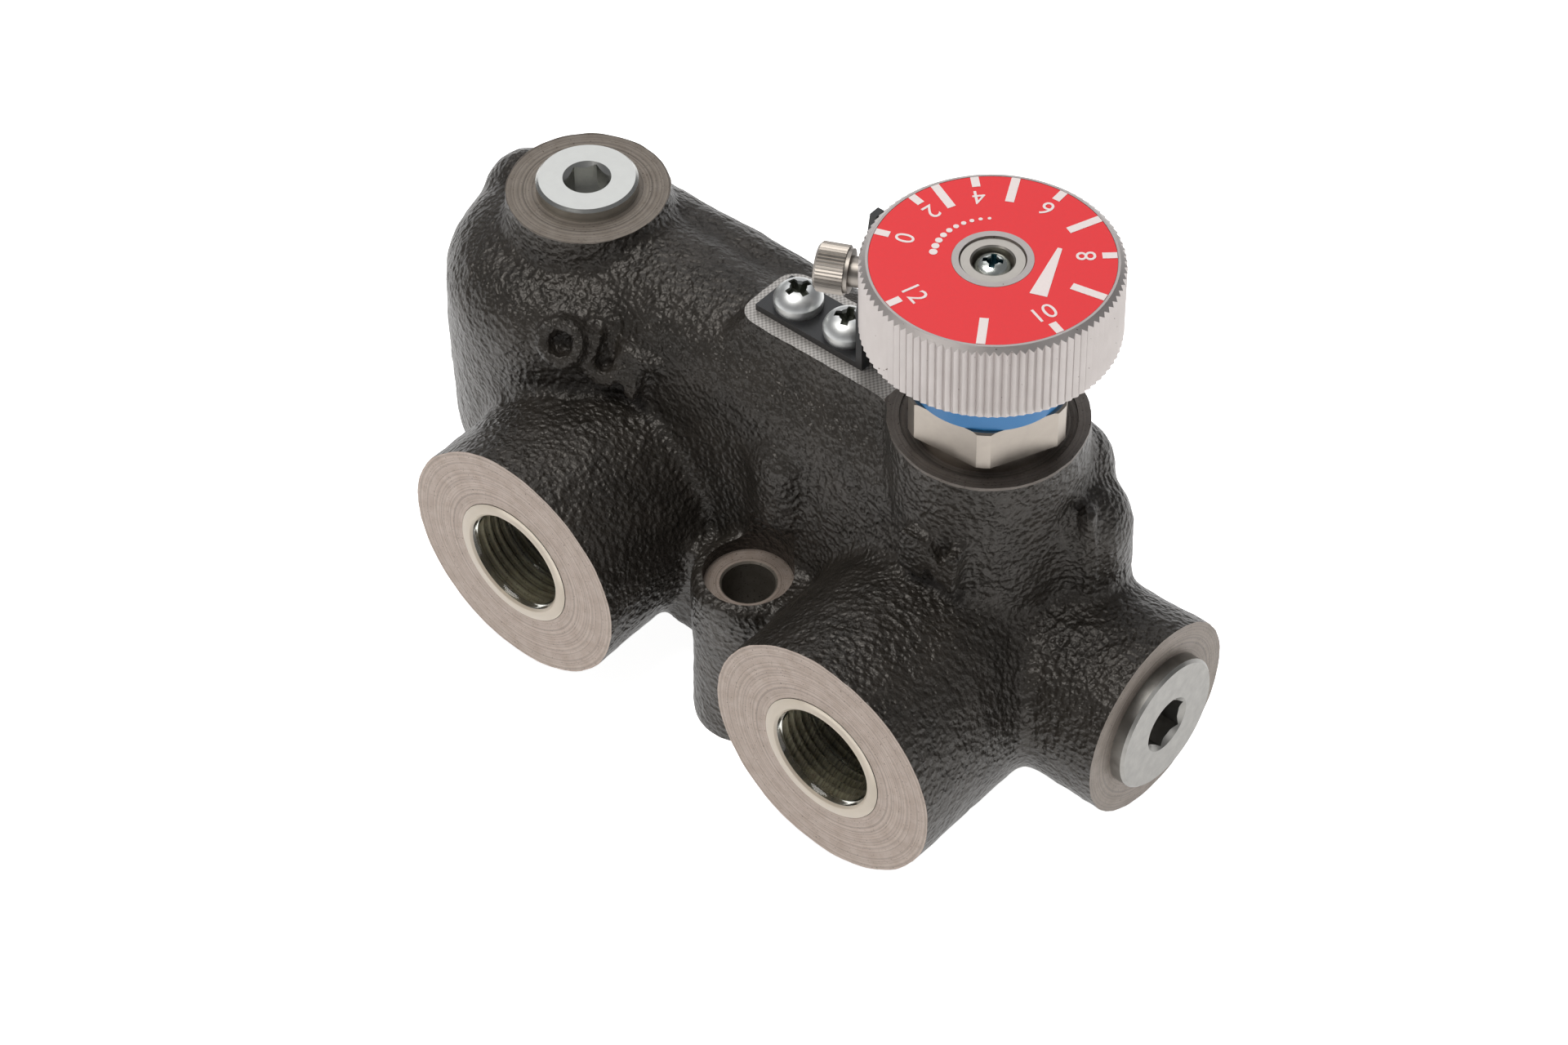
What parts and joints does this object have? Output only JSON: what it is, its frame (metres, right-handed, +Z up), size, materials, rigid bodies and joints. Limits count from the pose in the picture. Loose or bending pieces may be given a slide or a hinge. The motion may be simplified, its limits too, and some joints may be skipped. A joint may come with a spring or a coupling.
{
  "type": "flow control valve",
  "caption": "Cast block flow control valve with a knurled, graduated knob over the orifice, side ports in round bosses, screw plugs and a pointer plate.",
  "frame": {"origin": "on the axis of the front mounting hole, in the base plane", "axes": "+Z up along the hole and the knob axis, +X along the compensator bore towards the end plug, -Y out of the two front ports"},
  "size_m": [0.1827, 0.0896, 0.1264],
  "materials": {
    "black_casting": "rough cast, black painted, with machined faces",
    "zinc_plated_steel": "bright zinc plated",
    "nickel_steel": "satin nickel plated",
    "satin_aluminium": "satin, knurled",
    "red_dial": "printed red",
    "blue_plastic": "matt moulded",
    "black_plate": "black oxide",
    "spring_steel": "ground",
    "hardened_steel": "ground",
    "stainless": "knurled stainless",
    "brass": "turned",
    "black_rubber": "matt",
    "clear_plastic": "clear moulded"
  },
  "bodies": {
    "valve": {"valve_body": "black_casting", "top_plug": "zinc_plated_steel", "top_plug_seal": "black_rubber", "end_plug": "zinc_plated_steel", "end_plug_seal": "black_rubber", "bonnet": "nickel_steel", "bonnet_o_ring": "black_rubber", "blue_dust_ring": "blue_plastic", "orifice_sleeve": "hardened_steel", "sleeve_o_rings": "black_rubber", "spindle_o_ring": "black_rubber", "pointer_plate": "black_plate", "pointer_washers": "zinc_plated_steel", "pointer_screws": "zinc_plated_steel", "compensator_spring": "spring_steel"},
    "knob": {"knob": "satin_aluminium", "dial_plate": "red_dial", "knob_bush": "nickel_steel", "knob_screw_washer": "zinc_plated_steel", "knob_screw": "zinc_plated_steel", "spindle": "nickel_steel", "thrust_washer": "brass", "orifice_spool": "hardened_steel", "drive_pin": "hardened_steel"},
    "lock": {"lock_screw": "stainless", "lock_pad": "brass"},
    "compensator": {"compensator_spool": "hardened_steel"},
    "outlet_cap": {"outlet_cap": "clear_plastic"},
    "inlet_cap": {"inlet_cap": "clear_plastic"},
    "bypass_cap": {"bypass_cap": "clear_plastic"}
  },
  "joints": [
    {"name": "knob_turn", "type": "hinge", "parent": "valve", "child": "knob", "pos_m": [0.0384, 0.0276, 0.1], "axis": [0, 0, 1], "range_deg": [-10, 290]},
    {"name": "lock_screw_turn", "type": "hinge", "parent": "knob", "child": "lock", "pos_m": [0.01144, 0.01445, 0.1174], "axis": [-0.8988, -0.4384, 0], "range_deg": [-360, 360]},
    {"name": "compensator_slide", "type": "slide", "parent": "valve", "child": "compensator", "axis": [-1, 0, 0], "range_m": [0, 0.008], "stiffness_N_per_m": 4000, "springref_m": -0.012, "deforming": ["compensator_spring"]},
    {"name": "outlet_cap_pull", "type": "slide", "parent": "valve", "child": "outlet_cap", "axis": [0, -1, 0], "range_m": [0, 0.06]},
    {"name": "inlet_cap_pull", "type": "slide", "parent": "valve", "child": "inlet_cap", "axis": [0, -1, 0], "range_m": [0, 0.06]},
    {"name": "bypass_cap_pull", "type": "slide", "parent": "valve", "child": "bypass_cap", "axis": [0, 1, 0], "range_m": [0, 0.06]}
  ]
}
